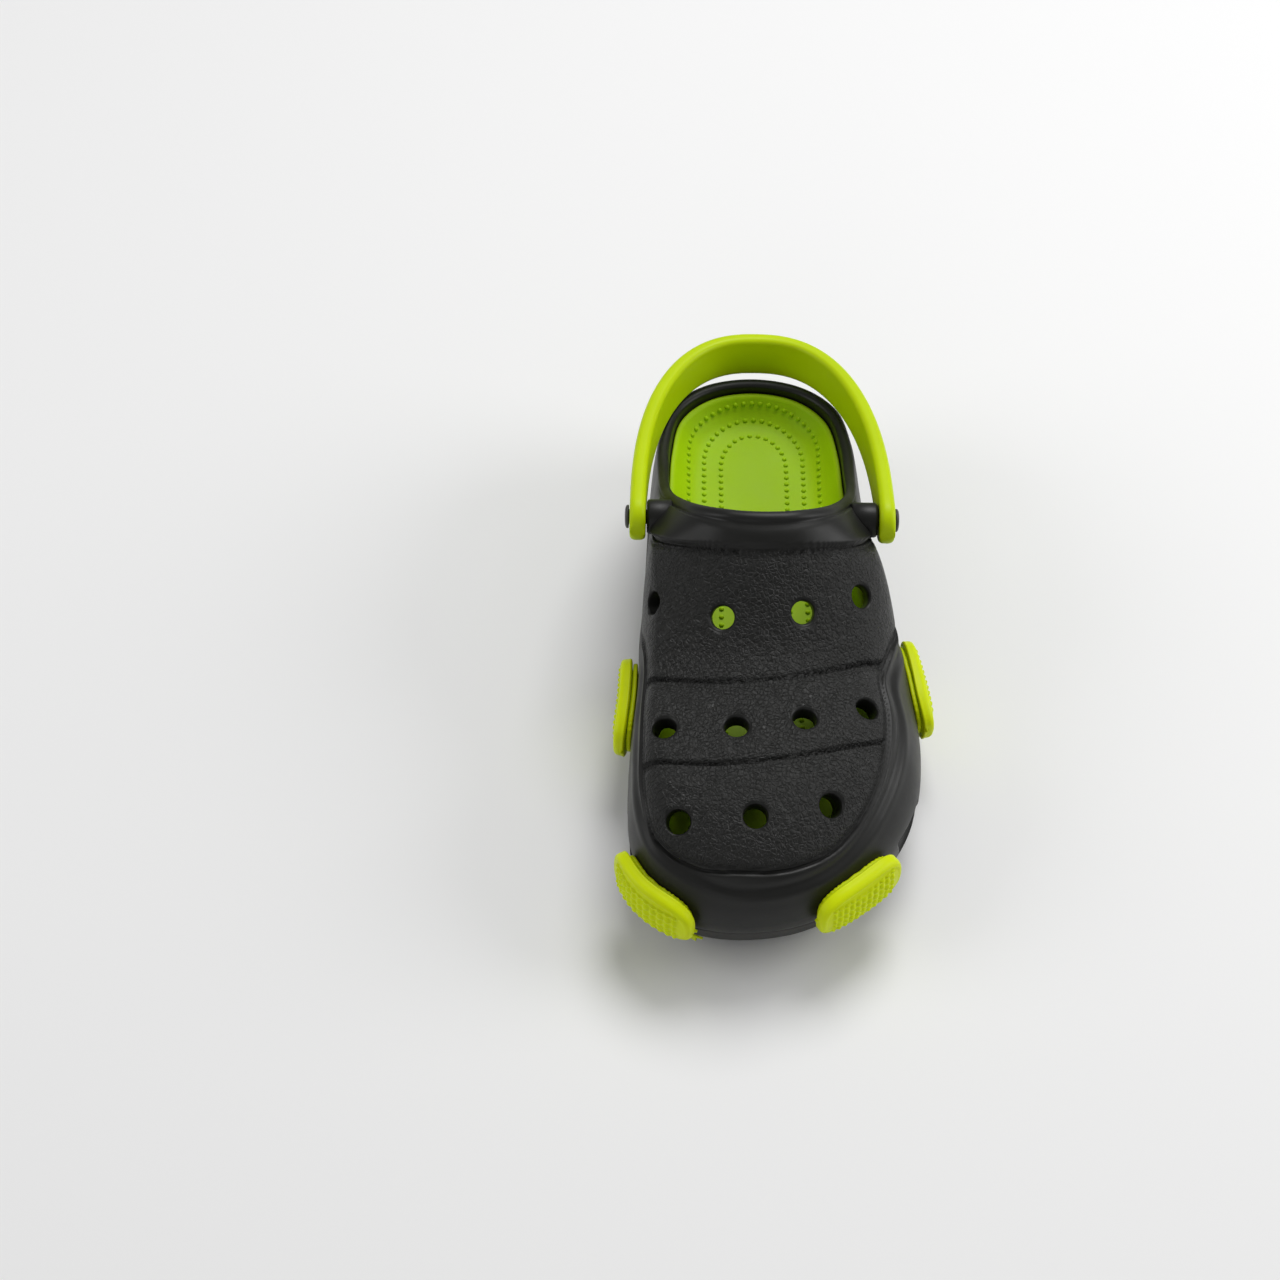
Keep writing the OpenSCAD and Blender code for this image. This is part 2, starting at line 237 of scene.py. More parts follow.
def mesh_piece(name, verts, faces, body, material, slot, *nodes):
    """Smooth shaded mesh from millimetres; a cutter has no body."""
    me = bpy.data.meshes.new(name)
    me.from_pydata((np.asarray(verts) * MM).tolist(), [], faces)
    me.validate()
    me.update()
    me.polygons.foreach_set("use_smooth", [True] * len(me.polygons))
    o = bpy.data.objects.new(name, me)
    bpy.context.scene.collection.objects.link(o)
    me.materials.append(material)
    if body:
        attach(o, body)
        if nodes:
            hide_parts(*nodes)
    return o


def grid_faces(rows, cols, base=0):
    """Quads between rows of points that each close on themselves."""
    i = np.arange(cols)
    j = (i + 1) % cols
    out = []
    for r in range(rows - 1):
        a = base + r * cols
        out.append(np.stack([a + i, a + j, a + cols + j, a + cols + i], -1))
    return np.concatenate(out).tolist()


def strip_cap(cols, base, flip=False):
    """Strips across a ring, from point i to point cols - i."""
    out = []
    for i in range(cols // 2):
        a, b, c, d = i, i + 1, (cols - i - 1) % cols, (cols - i) % cols
        f = [a, b, c] if i == 0 else [a, b, d] if i == cols // 2 - 1 else [a, b, c, d]
        f = [base + k for k in f]
        out.append(f[::-1] if flip else f)
    return out


def closed_body(rings):
    """Points and faces of a body from rings that run from its underside round to its top."""
    cols = len(rings[0])
    faces = grid_faces(len(rings), cols)
    faces += strip_cap(cols, 0, flip=True) + strip_cap(cols, (len(rings) - 1) * cols)
    return np.concatenate(rings), faces


def solid(name, rings, body, material, slot, *nodes):
    return mesh_piece(name, *closed_body(rings), body, material, slot, *nodes)


def carve(target, cutters):
    """Cut a list of temporary solids out of a piece."""
    for i, c in enumerate(cutters):
        m = target.modifiers.new("cut%d" % i, "BOOLEAN")
        m.operation = "DIFFERENCE"
        m.solver = "MANIFOLD"
        m.object = c
    dg = bpy.context.evaluated_depsgraph_get()
    me = bpy.data.meshes.new_from_object(target.evaluated_get(dg))
    target.modifiers.clear()
    old = target.data
    target.data = me
    me.name = old.name
    for c in cutters:
        bpy.data.objects.remove(c)


def basis(p, n):
    """Place at p with its height along n: the point and three unit vectors."""
    a = unit(np.cross((0, 0, 1) if abs(n[2]) < 0.9 else (0, 1, 0), n))
    return p, a, np.cross(n, a), n


def lathe(name, profile, place, steps=48, material=None, body=None, slot=None, nodes=()):
    """Turned piece: profile rows are (radius, height) from the bottom's middle to the top's."""
    p, a, b, n = place
    t = np.linspace(0, 2 * math.pi, steps, endpoint=False)
    ring = np.cos(t)[:, None] * a + np.sin(t)[:, None] * b
    verts = np.concatenate([p + ring * r + n * h for r, h in profile])
    faces = grid_faces(len(profile), steps)
    faces.append(list(range(steps))[::-1])
    faces.append([(len(profile) - 1) * steps + k for k in range(steps)])
    return mesh_piece(name, verts, faces, body, material, slot, *nodes)


# ---- materials -------------------------------------------------------------------


def material(name, color, rough, build=None, **sockets):
    m = bpy.data.materials.new(name)
    m.use_nodes = True
    nt = m.node_tree
    bsdf = nt.nodes["Principled BSDF"]
    bsdf.inputs["Base Color"].default_value = (*color, 1)
    bsdf.inputs["Roughness"].default_value = rough
    for k, v in sockets.items():
        bsdf.inputs[k.replace("_", " ")].default_value = v
    if build:
        build(nt, bsdf)
    return m


def node(nt, kind, **kw):
    n = nt.nodes.new("ShaderNode" + kind)
    for k, v in kw.items():
        if k.startswith("in_"):
            n.inputs[k[3:].replace("_", " ")].default_value = v
        else:
            setattr(n, k, v)
    return n


def noise(nt, scale, detail, rough=0.55):
    tc = node(nt, "TexCoord")
    n = node(nt, "TexNoise", in_Scale=scale, in_Detail=detail, in_Roughness=rough)
    nt.links.new(tc.outputs["Object"], n.inputs["Vector"])
    return n


def ramp(nt, source, *stops):
    """Colour ramp; each stop is (position, colour or grey)."""
    r = node(nt, "ValToRGB")
    r.color_ramp.elements.remove(r.color_ramp.elements[0])
    for i, (pos, col) in enumerate(stops):
        e = r.color_ramp.elements[0] if i == 0 else r.color_ramp.elements.new(pos)
        e.position = pos
        e.color = (*col, 1) if isinstance(col, tuple) else (col, col, col, 1)
    nt.links.new(source, r.inputs["Fac"])
    return r


def tinted(nt, bsdf, color, spread, scale, rough, rough_spread):
    """Soft colour and gloss variation of moulded foam."""
    n = noise(nt, scale, 5)
    c = ramp(nt, n.outputs["Fac"], (0.3, tuple(k * (1 - spread) for k in color)),
             (0.7, tuple(min(1, k * (1 + spread)) for k in color)))
    nt.links.new(c.outputs["Color"], bsdf.inputs["Base Color"])
    n2 = noise(nt, scale * 4, 4)
    r = ramp(nt, n2.outputs["Fac"], (0.3, rough - rough_spread), (0.7, rough + rough_spread))
    nt.links.new(r.outputs["Color"], bsdf.inputs["Roughness"])


def bump(nt, bsdf, height, distance, strength=1.0, before=None):
    """Bump in metres, on top of an earlier one if given."""
    b = node(nt, "Bump", in_Strength=strength, in_Distance=distance)
    nt.links.new(height, b.inputs["Height"])
    if before is not None:
        nt.links.new(before.outputs["Normal"], b.inputs["Normal"])
    nt.links.new(b.outputs["Normal"], bsdf.inputs["Normal"])
    return b


def foam(color, rough, spread, skin_size=900, depth=0.00004):
    """Node builder for smooth moulded foam."""
    def build(nt, bsdf):
        tinted(nt, bsdf, color, spread, 26, rough, 0.05)
        n = noise(nt, skin_size, 3)
        bump(nt, bsdf, n.outputs["Fac"], depth)
    return build


BLACK = (0.0088, 0.0090, 0.0080)
STRAP_GREEN = (0.50, 0.66, 0.0005)
# footbed lime: its own green with painted shade and green bounce light of the cup mixed in, so darker
# and greener than the strap
BED_GREEN_SHADED = (0.37, 0.60, 0.0005)
PAD_GREEN = (0.62, 0.74, 0.0006)
SOLE_BLACK = (0.024, 0.024, 0.022)
RIVET_GREY = (0.03, 0.03, 0.028)


def shell_nodes(nt, bsdf):
    """Pebbled leather grain on the panels, fine satin skin elsewhere."""
    tinted(nt, bsdf, BLACK, 0.14, 22, 0.44, 0.05)
    tc = node(nt, "TexCoord")
    warp = noise(nt, 260, 2)
    add = node(nt, "MixRGB", blend_type="ADD", in_Fac=0.0022)
    nt.links.new(tc.outputs["Object"], add.inputs["Color1"])
    nt.links.new(warp.outputs["Color"], add.inputs["Color2"])
    pebbles = node(nt, "TexVoronoi", feature="DISTANCE_TO_EDGE", in_Scale=620)
    nt.links.new(add.outputs["Color"], pebbles.inputs["Vector"])
    cell = ramp(nt, pebbles.outputs["Distance"], (0.0, 0.0), (0.22, 1.0))
    fold = ramp(nt, noise(nt, 240, 5, 0.65).outputs["Fac"], (0.35, 0.0), (0.65, 1.0))
    both = node(nt, "Math", operation="MULTIPLY_ADD")
    both.inputs[1].default_value = 0.55
    nt.links.new(cell.outputs["Color"], both.inputs[0])
    nt.links.new(fold.outputs["Color"], both.inputs[2])
    mask = node(nt, "Attribute", attribute_name="grain")
    grain = node(nt, "Math", operation="MULTIPLY")
    nt.links.new(both.outputs[0], grain.inputs[0])
    nt.links.new(mask.outputs["Fac"], grain.inputs[1])
    leather = bump(nt, bsdf, grain.outputs[0], 0.0004, 0.9)
    bump(nt, bsdf, noise(nt, 1500, 3).outputs["Fac"], 0.00003, before=leather)


def lime(name, color, rough, spread, depth):
    """Slightly see-through green foam."""
    return material(name, color, rough, foam(color, rough, spread), Subsurface_Weight=depth,
                    Subsurface_Radius=(0.002, 0.003, 0.0006), Specular_IOR_Level=0.16)


M_SHELL = material("clog_shell", BLACK, 0.42, shell_nodes, Specular_IOR_Level=0.3)
M_SOLE = material("clog_outsole", SOLE_BLACK, 0.58, foam(SOLE_BLACK, 0.58, 0.15))
# the footbed's base colour holds painted shade of the cup
M_BED = lime("clog_footbed", BED_GREEN_SHADED, 0.5, 0.05, 0.12)
M_STRAP = lime("clog_strap", STRAP_GREEN, 0.42, 0.04, 0.12)
M_PAD = lime("clog_pads", PAD_GREEN, 0.4, 0.06, 0.15)
M_RIVET = material("clog_rivet", RIVET_GREY, 0.4, foam(RIVET_GREY, 0.4, 0.1, 1400, 0.00002))

# ---- shell -----------------------------------------------------------------------

COLS, ROWS, INNER_ROWS = 392, 176, 26
U = np.arange(COLS) * SPANS / COLS

# Height of the panel seam and of the soft ledge below it, at each outline point
SEAM_Z = np.array([43.6, 42.8, 42.6, 46.2, 49.8, 48.4, 46.5, 40.5, 35, 38, 48, 56, 60, 60,
                   60, 60, 60, 56, 48, 38, 35, 38.5, 47.5, 48.6, 50.6, 48.5, 44, 42.4])
LEDGE_Z = np.array([37.8, 37.4, 37.6, 41.4, 44, 44.4, 41, 34, 30, 30, 30, 30, 30, 30,
                    30, 30, 30, 30, 30, 30, 30, 34, 41.5, 43, 44, 43.5, 41.5, 39.6])


def groove(d):
    """Depth of a double seam line at d millimetres from its middle."""
    return -1.7 * np.exp(-((d - 0.4) / 0.6) ** 4) - 0.5 * np.exp(-((d + 1.5) / 0.5) ** 2)


def build_shell():
    """Both skins of the upper with seams, grooves, ledge and collar."""
    share = (np.arange(ROWS + 1) / ROWS)[:, None] ** mix(
        2, 1.5, clamp(np.linalg.norm(rim(U)[:, :2] - edge(U), axis=-1) / 80))[None, :]
    uu = np.broadcast_to(U, share.shape)
    P = outer_skin(uu, share)

    def du(a):
        return (np.roll(a, -1, 1) - np.roll(a, 1, 1)) / 2

    def dv(a):
        return np.gradient(a, axis=0)

    Pu, Pv = du(P), dv(P)
    N = unit(np.cross(Pu, Pv))
    E, F, G = (Pu * Pu).sum(-1), (Pu * Pv).sum(-1), (Pv * Pv).sum(-1)
    det = np.maximum(E * G - F * F, 1e-6)

    def distance(f):
        """Millimetres along the surface from where f is 0."""
        a, b = du(f), dv(f)
        g = (G * a * a - 2 * F * a * b + E * b * b) / det
        return f / np.sqrt(np.maximum(g, 1e-3))

    x, y, z = P[..., 0], P[..., 1], P[..., 2]
    seam = distance(z - closed(SEAM_Z, uu))
    collar = distance((z - 80.6) + 0.8 * (y - 2.6))
    g1 = distance(y - (-33.8 + 0.104 * x + 0.0059 * x * x))
    g2 = distance(y - (-65.1 + 0.1425 * x + 0.0045 * x * x))
    ledge = distance(z - closed(LEDGE_Z, uu))
    front = 1 - smooth((y - 46) / 8)                    # the seams end before the heel
    in_panel = smooth((seam + 0.4) / 1.2) * (1 - smooth((collar + 0.4) / 1.2)) * front
    band = smooth((collar + 0.2) / 1.1) * (1 - smooth((y - 30) / 14))
    h = np.zeros_like(x)
    h += groove(-seam) * smooth((1.2 - collar) / 1.0) * front
    h += groove(collar) * smooth((seam + 1.2) / 1.0) * (1 - smooth((y - 44) / 8)) * 0.9
    h += (groove(g1) + groove(g2)) * smooth((seam - 0.2) / 0.8)
    h += 1.0 * band                                     # the collar stands proud
    for d in (seam, -collar, np.abs(g1), np.abs(g2)):   # pillowed panel edges
        h -= 0.5 * np.exp(-np.abs(d) / 2.4) * in_panel
    low = (1 - smooth((y - 5) / 26)) * (1 - in_panel)
    dip = -0.75 * np.exp(-((ledge - 1.7) / 1.7) ** 2)
    h += (dip + 0.3 * np.exp(-((ledge + 1.6) / 1.8) ** 2)) * low
    h *= smooth((1 - share) / 0.03)
    P = P + N * h[..., None]

    under = []
    for inset, lift in ((2.4, 0.0), (1.75, 0.12), (1.25, 0.26), (0.7, 0.45), (0.3, 0.68), (0.08, 0.86)):
        b = edge(U)
        p = b + inward(U) * inset
        under.append(np.concatenate([p, mix(joint_at(b[:, 1]), bulge_at(b[:, 1]), lift)[:, None]], -1))
    # a rounded rim between the two skins
    a, c, r = P[-1], inner_skin(U, np.ones(COLS)), rim(U)
    over = []
    for t in np.linspace(0, math.pi, 11)[1:-1]:
        mid = (a + c) / 2
        over.append(mid + (a - mid) * math.cos(t) + (r - mid) * math.sin(t))
    inner = [inner_skin(U, np.full(COLS, k / INNER_ROWS) ** 1.7) for k in range(INNER_ROWS, -1, -1)]
    rings = under + list(P) + over + inner
    o = solid("shell_skin", rings, "clog", M_SHELL, "shell", "shell")
    grain = np.zeros(len(o.data.vertices), np.float32)
    first = len(under) * COLS
    grain[first:first + P.shape[0] * COLS] = (
        in_panel * smooth((np.abs(seam) - 0.6) / 1.0)).astype(np.float32).ravel()
    at = o.data.attributes.new("grain", "FLOAT", "POINT")
    at.data.foreach_set("value", grain)
    return o


# Each vent hole: u round the outline, and share of the way up to the rim
VENTS = [(21.8, 0.31), (26.3, 0.775), (2.2, 0.78), (5.15, 0.64),
         (25.15, 0.33), (27.6, 0.47), (1.6, 0.47), (3.45, 0.375),
         (26.5, 0.14), (0.25, 0.2), (1.9, 0.18)]


def vent_cutter(u, share):
    """Round vent hole along the wall's normal, flared at its mouth."""
    u, share = np.array(float(u)), np.array(float(share))
    p = outer_skin(u, share)
    n = unit(np.cross(outer_skin(u + 0.02, share) - p, outer_skin(u, share + 0.02) - p))
    r, e = VENT_R, 1.3          # bore and the round over at its mouth
    flare = [(r + e * (1 - math.cos(t)), -e + 0.05 + e * math.sin(t))
             for t in np.linspace(0, math.pi / 2, 9)]
    return lathe("cutter", [(r, -9), (r, -4)] + flare + [(r + e + 0.5, 3)], basis(p, n), 56)


def prism(name, outline, z0, z1, place):
    """Straight cutter with a flat outline."""
    p, a, b, n = place
    o = np.asarray(outline)
    v = [p + o[:, :1] * a + o[:, 1:] * b + n * z for z in (z0, z1)]
    k = len(o)
    return mesh_piece(name, np.concatenate(v), grid_faces(2, k) + [list(range(k))[::-1],
                      [k + i for i in range(k)]], None, None, None)


def rounded(points, r, steps=5):
    """Polygon with rounded corners."""
    pts = np.asarray(points, float)
    out = []
    for i, p in enumerate(pts):
        a, b = unit(pts[i - 1] - p), unit(pts[(i + 1) % len(pts)] - p)
        half = math.acos(np.clip(a @ b, -1, 1)) / 2
        d = r / math.tan(half)
        c = p + unit(a + b) * r / math.sin(half)
        s, e = p + a * d - c, p + b * d - c
        a0, a1 = math.atan2(s[1], s[0]), math.atan2(e[1], e[0])
        turn = (a1 - a0 + math.pi) % (2 * math.pi) - math.pi
        out += [c + r * np.array([math.cos(a0 + turn * k / steps), math.sin(a0 + turn * k / steps)])
                for k in range(steps + 1)]
    return out


def drain_cutter(u, lean):
    """Slanted drain slot through the side wall."""
    b, n = edge(np.array(float(u))), inward(np.array(float(u)))
    out = np.array([-n[0], -n[1], 0])
    along = np.cross((0, 0, 1), out)
    p = np.array([b[0], b[1], DRAIN_Z])
    h, l = DRAIN_H / 2, DRAIN_L / 2
    pts = rounded([(-l - lean, -h), (l - lean, -h), (l + lean, h), (-l + lean, h)], 1.2)
    return prism("cutter", pts, -11, 4, (p, along, np.array([0, 0, 1.0]), out))


def pivot_place(side):
    """Frame with its height along the strap's pivot, outwards."""
    return (PIVOT.copy(), np.array([0, 0, 1.0]), np.array([0, -side * 1.0, 0]),
            np.array([side * 1.0, 0, 0]))


def build_upper():
    o = build_shell()
    cutters = [vent_cutter(*v) for v in VENTS]
    cutters += [drain_cutter(3.85, -2), drain_cutter(24.5, 2)]
    seat = BOSS_BACK - 0.65       # flat for the rivet's cap
    for side, _ in SIDES:
        cutters.append(lathe("cutter", [(CAP_R + 0.25, 22), (CAP_R + 0.25, seat)], pivot_place(side)))
        cutters.append(lathe("cutter", [(SHANK_R, 29.5), (SHANK_R, 40)], pivot_place(side)))
    carve(o, cutters)
    face = STRAP_HALF - STRAP_T - 0.4
    for side, label in SIDES:
        lathe("rivet_boss_" + label,
              [(BORE_R, BOSS_BACK), (BOSS_R - 0.7, BOSS_BACK), (BOSS_R, BOSS_BACK + 0.6),
               (BOSS_R, face - 1.0), (BOSS_R - 0.2, face - 0.4), (BOSS_R - 0.8, face), (BORE_R, face)],
              pivot_place(side), 56, M_SHELL, "clog", "shell")


# ---- outsole ---------------------------------------------------------------------


TREAD_W, TREAD_D = 4.0, 2.6


def build_outsole():
    cols = 336
    u = np.arange(cols) * SPANS / cols
    b, n = edge(u), inward(u)
    rings = []
    for inset, share in ((5.6, 0), (4.9, 0.02), (4.4, 0.08), (4.05, 0.17), (3.7, 0.32), (3.3, 0.52),
                         (2.8, 0.75), (2.45, 0.9), (2.6, 0.95), (3.0, 0.985), (3.0, 1.0)):
        p = b + n * inset
        rings.append(np.concatenate([p, (spring(b[:, 1]) + SOLE_T * share)[:, None]], -1))
    o = solid("outsole_tread", rings, "clog", M_SOLE, "outsole", "outsole")
    x_axis, y_axis, z_axis = np.eye(3)
    w, d = TREAD_W / 2, TREAD_D
    groove_shape = rounded([(-w - 0.5, -3), (w + 0.5, -3), (w - 0.2, d), (-w + 0.2, d)], 0.5)
    cutters = []
    for y in (-80, -54, -25, -12, 62, 78, 94):
        place = (np.array([0, y, float(spring(np.array(float(y))))]), y_axis, z_axis, x_axis)
        cutters.append(prism("cutter", groove_shape, -75, 75, place))
    carve(o, cutters)


# ---- footbed ---------------------------------------------------------------------


# The cup's section: inset from the lip, and share of the lip's height left there
CUP_X = [0, 1.6, 3, 5, 8, 11.5, 16]
CUP_Z = [1.0, 0.97, 0.72, 0.42, 0.14, 0.02, 0.0]


def cup_point(u, inset):
    """Top of the footbed, inset from its side."""
    b = edge(u)
    q = bed_side(u, lip_at(b[..., 1]))[..., :2] + inward(u) * inset[..., None]
    rise = np.interp(inset, CUP_X, CUP_Z)
    z = mix(bed_at(q[..., 1]), lip_at(b[..., 1]), rise)
    return np.concatenate([q, z[..., None]], -1)


def build_footbed():
    cols = 336
    u = np.arange(cols) * SPANS / cols
    rings = []
    low = floor_at(inner_edge(u, GAP)[:, 1]) + 0.05
    lip = lip_at(edge(u)[:, 1])
    for k in np.linspace(0, 1, 9):
        rings.append(bed_side(u, mix(low, lip - 0.5, k)))
    top = bed_side(u, lip)
    for i, z in ((0.15, -0.15), (0.5, 0.0)):
        r = top.copy()
        r[:, :2] += inward(u) * i
        r[:, 2] += z
        rings.append(r)
    for i in (1.0, 1.6, 2.2, 3, 3.9, 5, 6.4, 8, 9.8, 11.5, 13, 14.5):
        rings.append(cup_point(u, np.full(cols, i)))
    # the middle of the bed: rows across, so it keeps its slope
    cap = rings[-1]
    mid = (cap + cap[(-np.arange(cols)) % cols]) / 2
    for t in (0.8, 0.55, 0.3):
        r = cap.copy()
        r[:, 0] = mid[:, 0] + (cap[:, 0] - mid[:, 0]) * t
        rings.append(r)
    verts, faces = closed_body(rings)
    nub_verts, nub_faces = nubs(verts, faces)
    mesh_piece("footbed_foam", np.concatenate([verts] + nub_verts), faces + nub_faces,
               "clog", M_BED, "footbed", "footbed")


def nubs(bed_verts, bed_faces):
    """Massage nubs in three rows round the heel and forward on both sides."""
    tree = BVHTree.FromPolygons([Vector(v) for v in bed_verts.tolist()], bed_faces)
    verts, faces = [], []
    base = len(bed_verts)
    radius, pitch, seg = 0.95, 3.15, 12
    dome = ((1.0, -0.25), (0.95, 0.16), (0.8, 0.42), (0.52, 0.62), (0.22, 0.7))
    ang = np.linspace(0, 2 * math.pi, seg, endpoint=False)
    for half, y0, high in ((24.0, 90, 22), (18.2, 87, 20.5), (12.0, 84, 16.5)):
        t = np.linspace(0, math.pi, 400)
        arc = np.stack([half * np.cos(t), y0 + high * np.sin(t)], -1)
        fore = np.linspace(-48, y0, 400)[:-1]
        wide = half * (1 + 0.10 * smooth((30 - fore) / 70))
        path = np.concatenate([np.stack([wide + 2.5 * smooth((20 - fore) / 60), fore], -1), arc,
                               np.stack([-wide + 2.5 * smooth((20 - fore) / 60), fore], -1)[::-1]])
        run = np.concatenate([[0], np.cumsum(np.linalg.norm(np.diff(path, axis=0), axis=-1))])
        for d in np.arange(1.5, run[-1], pitch):
            x, y = (float(np.interp(d, run, path[:, k])) for k in (0, 1))
            hit, normal, _, _ = tree.ray_cast(Vector((x, y, 60)), Vector((0, 0, -1)))
            if hit is None:
                continue
            p, n = np.array(hit), np.array(normal)
            n = n if n[2] > 0 else -n
            a = unit(np.cross((0, 1, 0), n))
            ring = np.cos(ang)[:, None] * a + np.sin(ang)[:, None] * np.cross(n, a)
            verts += [p + radius * r * ring + n * h for r, h in dome] + [(p + n * 0.73)[None]]
            faces += grid_faces(len(dome), seg, base=base)
            last = base + (len(dome) - 1) * seg
            faces += [[last + i, last + (i + 1) % seg, last + seg] for i in range(seg)]
            base = last + seg + 1
    return verts, faces


# ---- strap and rivets ------------------------------------------------------------


def build_strap():
    """Band along half an oval, with round ends at the rivets."""
    end = STRAP_W / 2
    ends = (-0.995, -0.97, -0.92, -0.84, -0.72, -0.58, -0.42, -0.22)
    path = [(s * end, 0.0) for s in ends] + [(0.0, a) for a in np.linspace(0, math.pi, 121)]
    path += [(s * end, math.pi) for s in ends[::-1]]
    rings = []
    tilt = math.radians(STRAP_TILT)
    for s, a in path:
        c, d = math.cos(a), max(math.sin(a), 0.0)
        p = np.array([STRAP_HALF * power(c, OVAL), STRAP_REACH * d ** OVAL + s])
        n = unit(np.array([power(c, 2 - OVAL) / STRAP_HALF, d ** (2 - OVAL) / STRAP_REACH]))
        h = end * math.sqrt(max(0.0, 1 - (s / end) ** 2))
        r = min(2.0, h * 0.7)
        sec = []
        for cx, cy, a0 in ((-r, h - r, 0), (-STRAP_T + r, h - r, 90),
                           (-STRAP_T + r, -h + r, 180), (-r, -h + r, 270)):
            for k in range(6):
                w = math.radians(a0 + 18 * k)
                sec.append((cx + r * math.cos(w), cy + r * math.sin(w)))
        q = np.array([(p[0] + n[0] * out, p[1] + n[1] * out, up) for out, up in sec])
        yy = q[:, 1] * math.cos(tilt) - q[:, 2] * math.sin(tilt)
        zz = q[:, 1] * math.sin(tilt) + q[:, 2] * math.cos(tilt)
        rings.append(np.stack([q[:, 0], yy, zz], -1) + PIVOT)
    o = solid("heel_strap_band", [r[::-1] for r in rings], "strap", M_STRAP, "strap", "heel_strap")
    for side, _ in SIDES:
        carve(o, [lathe("cutter", [(BORE_R, 38), (BORE_R, 50)], pivot_place(side), 40)])


def build_rivets():
    back = BOSS_BACK - 3.2
    front = back + CAP_T
    out = STRAP_HALF + 0.3
    for side, label in SIDES:
        lathe("rivet_button_" + label,
              [(SHANK_R, back), (SHANK_R, out), (3.8, out), (4.0, out + 0.2), (4.0, out + 0.5),
               (3.85, out + 0.85), (3.4, out + 1.15), (2.7, out + 1.32), (1.7, out + 1.39),
               (0.8, out + 1.4), (0.3, out + 1.4)],
              pivot_place(side), 64, M_RIVET, "clog", "rivet", ("rivet_post_" + label,))
        lathe("rivet_keeper_" + label,
              [(2.6, back), (CAP_R - 1.1, back), (CAP_R - 0.4, back + 0.3), (CAP_R, back + 0.8),
               (CAP_R, front - 0.5), (CAP_R - 0.3, front), (2.6, front)],
              pivot_place(side), 56, M_RIVET, "clog", "rivet", ("rivet_cap_" + label,))


# ---- pads ------------------------------------------------------------------------

PAD_Z, PAD_H, PAD_T = 23.5, 18.5, 4.4
FACE_IN = 1.9                     # from a pad's outline to its flat face
BUMP_S, BUMP_T = 2.3, 2.8         # pitch of the bumps, along and up


def power(x, e):
    """Power that keeps the sign of x."""
    return np.sign(x) * np.abs(x) ** e


def pad_at(u0, s, t, n):
    """Point of the wall s along and t above a pad's middle, n outside."""
    per = float(np.linalg.norm(edge(np.array(u0 + 0.5)) - edge(np.array(u0 - 0.5))))
    z0 = PAD_Z + 0.3 * float(spring(edge(np.array(u0))[1]))
    return wall_point(u0 + np.asarray(s) / per, z0 + np.asarray(t, float), np.asarray(n, float))


def oval(cols, across, up):
    """Superellipse outline of half size across and up, with the given powers."""
    a = np.arange(cols) * 2 * math.pi / cols
    return a, power(np.cos(a), across[1]) * across[0], power(np.sin(a), up[1]) * up[0]


def build_pad(name, u0, L, node_name, seed, torn):
    """Bumper pad with rows of bumps, moulding flash and, if torn, a ragged tab."""
    rng = np.random.default_rng(seed)
    H, T = PAD_H, PAD_T
    a0 = 2 * GAP + BACK_T
    cols = 264
    a, s0, t0 = oval(cols, (L / 2, 0.6), (H / 2, 0.68))
    # wavy moulding flash along the lower edge, and a proud parting line
    wave = np.interp(np.arange(cols), np.linspace(0, cols, 41), np.append(rng.uniform(-1, 1, 40), 0))
    flash = 0.35 * wave * smooth(-np.sin(a) * 2)
    rows = [(-1.0, 0.0, 0), (-0.25, 0.2, 0.3), (0.0, 0.55, 1.0), (0.08, 0.85, 1.0), (-0.05, 1.15, 0.4),
            (-0.12, 1.9, 0), (-0.22, 2.6, 0), (-0.42, 3.2, 0), (-0.75, 3.65, 0), (-1.25, 3.9, 0),
            (-FACE_IN, 4.0, 0)]
    rings = []
    for inset, n, f in rows:
        ks, kt = (L / 2 + inset) / (L / 2), (H / 2 + inset) / (H / 2)
        rings.append(pad_at(u0, s0 * ks, t0 * kt + flash * f * np.sign(t0), np.full(cols, a0 + n)))
    # the face, filled with concentric rings that carry the rows of bumps
    for k in np.linspace(1, 0.03, 52)[1:]:
        s = s0 * (L / 2 - FACE_IN) / (L / 2) * k
        t = t0 * (H / 2 - FACE_IN) / (H / 2) * k
        ds = (s + BUMP_S / 2) % BUMP_S - BUMP_S / 2
        dt = np.where(np.abs(t) < 2 * BUMP_T, (t + BUMP_T / 2) % BUMP_T - BUMP_T / 2, 9)
        dots = np.clip(1 - (ds / 1.1) ** 2 - (dt / 1.25) ** 2, 0, 1) ** 0.8
        fade = smooth((L / 2 - 4.2 - np.abs(s)) / 1.0)
        rings.append(pad_at(u0, s, t, a0 + T - 0.55 + 0.85 * dots * fade))
    body, faces = closed_body(rings)
    verts = [body]
    base = len(body)
    # small sprue tips, and a torn tab where one was left on
    tips = [(L / 2, -1.0, 0.0, 0.7), (-L / 2, 1.2, math.pi, 0.6)]
    if torn:
        tips.append((L / 2 - 2.5, -H / 2 + 2.0, -0.45, 3.6))
    for s, t, way, size in tips:
        c, d = math.cos(way), math.sin(way)
        w = size * 0.55
        pts = [(s - c * 1.2 - d * w, t - d * 1.2 + c * w), (s - c * 1.2 + d * w, t - d * 1.2 - c * w),
               (s + c * size + d * w * 0.9, t + d * size - c * w * 0.9),
               (s + c * size * 0.75, t + d * size * 0.75),
               (s + c * size * 1.25 - d * w * 0.5, t + d * size * 1.25 + c * w * 0.5)]
        for n in (a0 + 0.6, a0 + 1.5):
            verts.append(pad_at(u0, [p[0] for p in pts], [p[1] for p in pts], np.full(5, n)))
        faces += grid_faces(2, 5, base=base)
        faces += [[base + i for i in range(5)][::-1], [base + 5 + i for i in range(5)]]
        base += 10
    mesh_piece(name, np.concatenate(verts), faces, "clog", M_PAD, "pads", node_name)


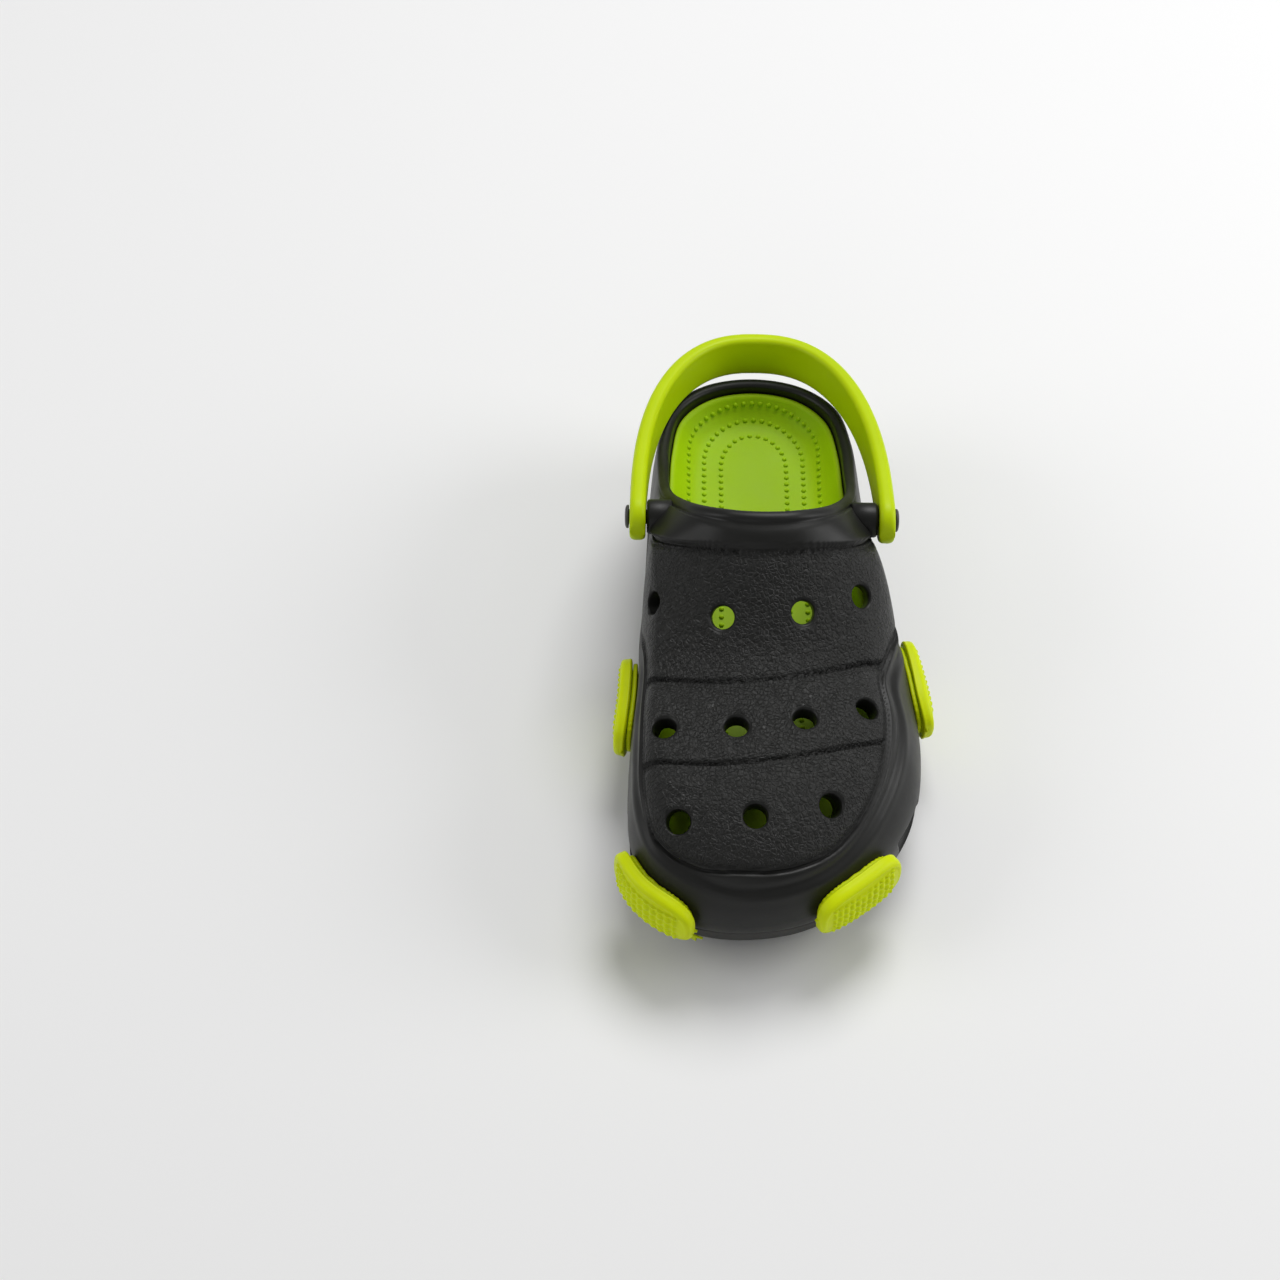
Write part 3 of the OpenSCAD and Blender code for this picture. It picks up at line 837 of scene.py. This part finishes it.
def build_backing(name, u0, L, node_name):
    """Ribbed plate between the wall and a pad."""
    cols = 120
    _, s0, t0 = oval(cols, ((L - 3) / 2, 0.62), (8.0, 0.72))
    t0 = t0 + 0.18 * np.cos(2 * math.pi * s0 / 1.6) * np.sign(t0)
    rings = []
    for inset, n in ((-0.4, 0.3), (0.0, 0.6), (0.0, 1.4), (-0.4, 1.85), (-1.5, 1.9)):
        rings.append(pad_at(u0, s0 * (1 + inset / (L / 2)), t0 * (1 + inset / 8), np.full(cols, n)))
    solid(name, rings, "clog", M_PAD, "pads", node_name)


def build_pads():
    for i, (kind, label, u0, length, torn) in enumerate((
            ("toe", "medial", 26.15, 33.0, True), ("toe", "lateral", 2.2, 33.0, False),
            ("side", "medial", 22.0, 36.0, False), ("side", "lateral", 6.4, 36.0, False))):
        build_pad("%s_bumper_%s" % (kind, label), u0, length, "%s_pad_%s" % (kind, label), 7 + i, torn)
        build_backing("%s_bumper_plate_%s" % (kind, label), u0, length,
                      "%s_pad_backing_%s" % (kind, label))


build_upper()
build_outsole()
build_footbed()
build_strap()
build_rivets()
build_pads()

# ---- floor, light, camera ----------------------------------------------------------

me = bpy.data.meshes.new("floor")
me.from_pydata([(-4, -4, 0), (4, -4, 0), (4, 4, 0), (-4, 4, 0)], [], [(0, 1, 2, 3)])
floor = bpy.data.objects.new("floor", me)
bpy.context.scene.collection.objects.link(floor)
me.materials.append(material("floor", (0.86, 0.86, 0.86), 0.7))


def area(name, at, size, power_w, target=(0, 0, 0.04)):
    d = bpy.data.lights.new(name, "AREA")
    d.shape, d.size, d.energy = "DISK", size, power_w
    o = bpy.data.objects.new(name, d)
    o.location = at
    o.rotation_euler = (Vector(target) - Vector(at)).to_track_quat("-Z", "Y").to_euler()
    bpy.context.scene.collection.objects.link(o)


area("back", (0.3, 1.0, 1.6), 1.0, 21)
area("right", (1.2, 0.1, 0.7), 0.8, 7)
area("left", (-1.3, -0.1, 0.8), 0.9, 5)
area("front", (-0.3, -1.4, 0.5), 0.9, 1.5)
world = bpy.data.worlds.new("studio")
world.use_nodes = True
world.node_tree.nodes["Background"].inputs["Color"].default_value = (1, 1, 1, 1)
world.node_tree.nodes["Background"].inputs["Strength"].default_value = 0.24
bpy.context.scene.world = world
bpy.context.scene.view_settings.view_transform = "Standard"

AZ, EL, DIST, ROLL = -0.0746, 0.8900, 0.7353, 0.0706      # radians, metres
cam_data = bpy.data.cameras.new("camera")
cam_data.sensor_width = 36
cam_data.lens = 60.11
cam_data.clip_end = 20
cam = bpy.data.objects.new("camera", cam_data)
bpy.context.scene.collection.objects.link(cam)
look = Vector((0.003, 0, 0.035))
back = Vector((math.sin(AZ) * math.cos(EL), -math.cos(AZ) * math.cos(EL), math.sin(EL)))
cam.location = look + back * DIST
cam.rotation_euler = (-back).to_track_quat("-Z", "Y").to_euler()
cam.rotation_euler.rotate_axis("Z", ROLL)
cam_data.shift_x, cam_data.shift_y = -0.0986, 0.0032
bpy.context.scene.camera = cam
